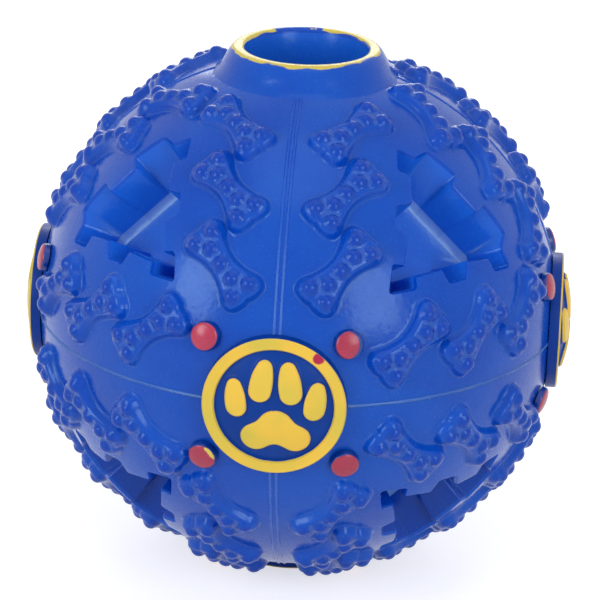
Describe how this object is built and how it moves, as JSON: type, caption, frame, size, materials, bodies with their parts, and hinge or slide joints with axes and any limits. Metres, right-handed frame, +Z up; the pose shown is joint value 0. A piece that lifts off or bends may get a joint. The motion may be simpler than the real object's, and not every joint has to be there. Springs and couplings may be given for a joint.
{
  "type": "pet toy ball",
  "caption": "Hollow soft ball for pets with a filling mouth, raised bones, toothed treat pockets, paw medallions, studs and a sliding sound unit inside.",
  "frame": {"origin": "centre of the bottom medallion's flat face, on the ground plane below the ball's centre", "axes": "+Z up through the filling mouth, -Y towards the front medallion, +X towards the right medallion"},
  "size_m": [0.1432, 0.1432, 0.1398],
  "materials": {
    "shell_vinyl": "soft translucent blue vinyl, satin",
    "medallion_vinyl": "navy vinyl, raised ring and paw painted yellow",
    "stud_vinyl": "navy vinyl with red painted crown",
    "tube_plastic": "moulded white plastic",
    "cap_plastic": "moulded light grey plastic",
    "reed_plastic": "moulded dark grey plastic",
    "tongue_film": "thin plastic reed film",
    "weight_steel": "turned steel"
  },
  "bodies": {
    "ball": {"lower_shell": "shell_vinyl", "medallion_back": "medallion_vinyl", "medallion_bottom": "medallion_vinyl", "medallion_front": "medallion_vinyl", "medallion_left": "medallion_vinyl", "medallion_right": "medallion_vinyl", "sound_tube": "tube_plastic", "stud_back_1": "stud_vinyl", "stud_back_2": "stud_vinyl", "stud_back_3": "stud_vinyl", "stud_back_4": "stud_vinyl", "stud_bottom_1": "stud_vinyl", "stud_bottom_2": "stud_vinyl", "stud_bottom_3": "stud_vinyl", "stud_bottom_4": "stud_vinyl", "stud_front_1": "stud_vinyl", "stud_front_2": "stud_vinyl", "stud_front_3": "stud_vinyl", "stud_front_4": "stud_vinyl", "stud_left_1": "stud_vinyl", "stud_left_2": "stud_vinyl", "stud_left_3": "stud_vinyl", "stud_left_4": "stud_vinyl", "stud_right_1": "stud_vinyl", "stud_right_2": "stud_vinyl", "stud_right_3": "stud_vinyl", "stud_right_4": "stud_vinyl", "tube_cap_lower": "cap_plastic", "tube_cap_upper": "cap_plastic", "upper_shell": "shell_vinyl"},
    "reed_slug": {"reed_body": "reed_plastic", "reed_tongue": "tongue_film", "slug_weight": "weight_steel"}
  },
  "joints": [
    {"name": "slug_slide", "type": "slide", "parent": "ball", "child": "reed_slug", "axis": [0, 0, 1], "range_m": [0, 0.018]}
  ]
}
